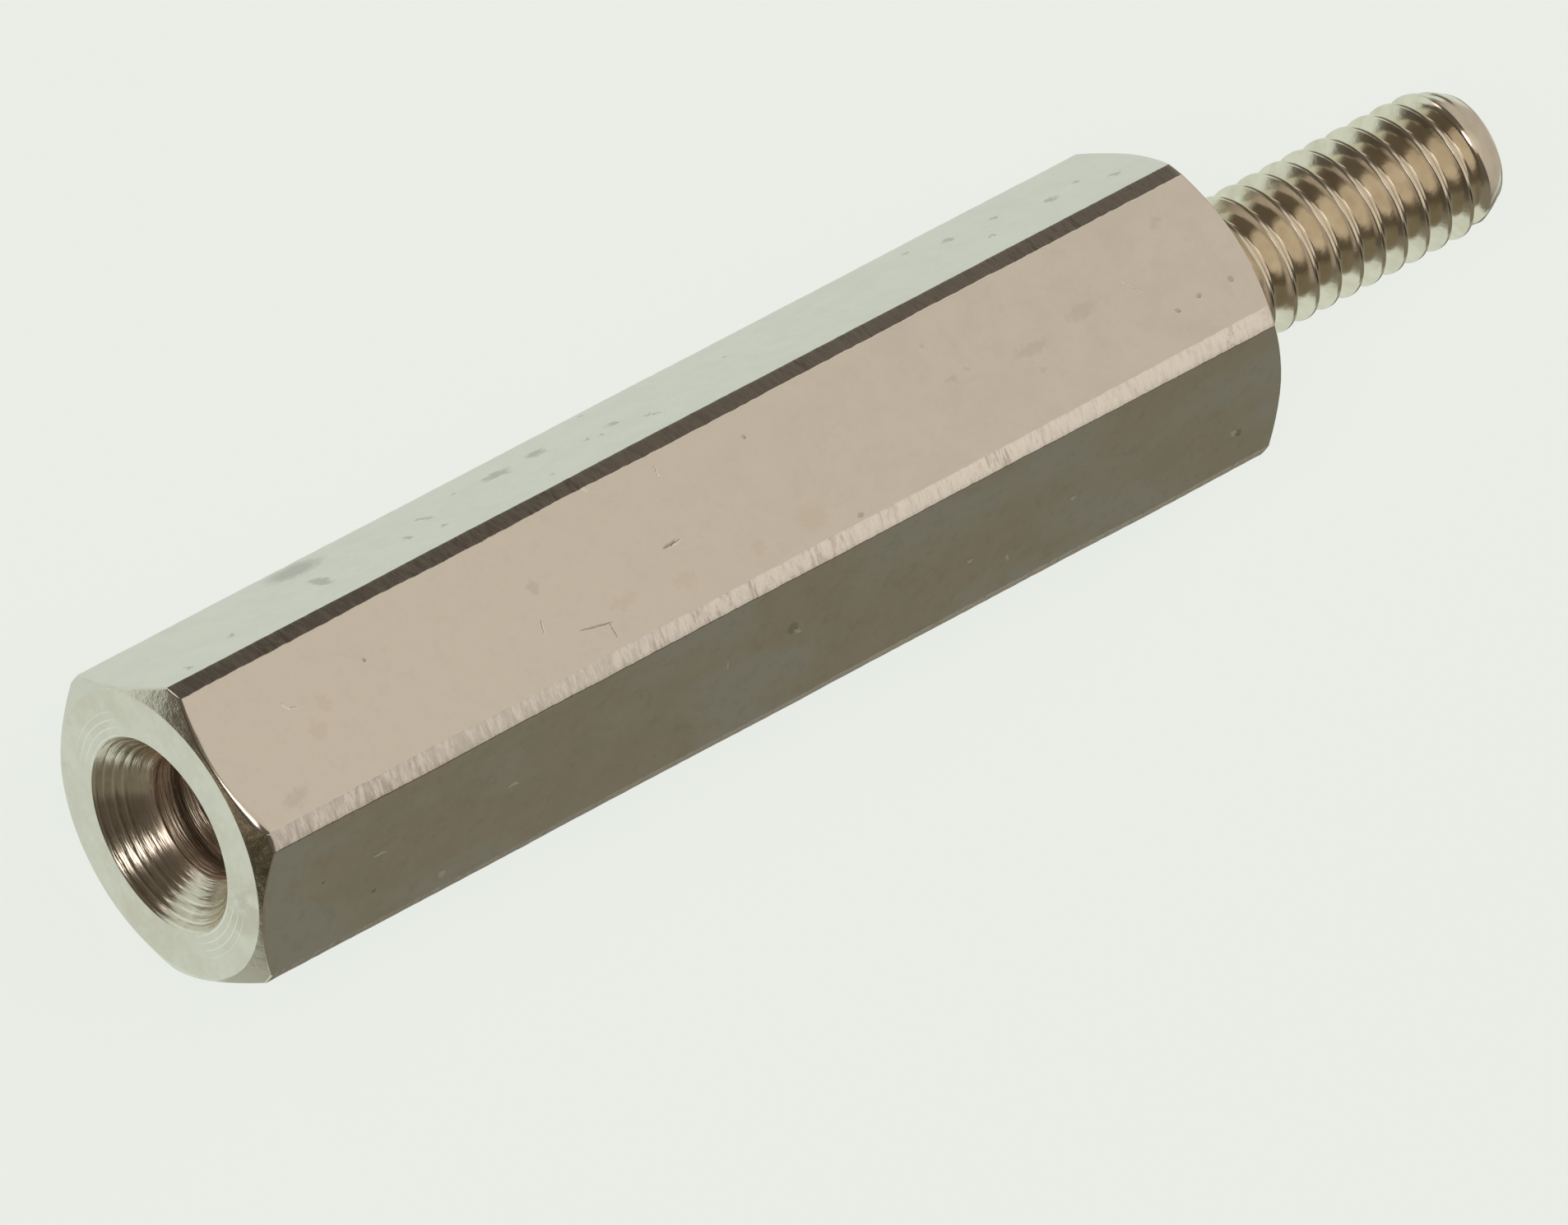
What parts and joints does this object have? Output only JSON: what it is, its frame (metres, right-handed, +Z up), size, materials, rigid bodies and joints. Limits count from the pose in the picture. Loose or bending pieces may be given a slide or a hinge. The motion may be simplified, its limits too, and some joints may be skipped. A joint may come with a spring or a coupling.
{
  "type": "hex standoff",
  "caption": "Male-female hexagonal spacer post with a tapped blind bore in one end and a threaded stud on the other, lying on a flat; holds boards a fixed distance apart.",
  "frame": {"origin": "under the middle of the overall length, on the surface that the part lies on", "axes": "+X along the axis from the tapped end to the stud, +Z up from the flat that it lies on"},
  "size_m": [0.026, 0.0054, 0.0049],
  "materials": {
    "nickel_plate": "bright nickel plate over brass, with fine scratches and turned ends"
  },
  "bodies": {
    "root": {"standoff": "nickel_plate"}
  },
  "joints": []
}
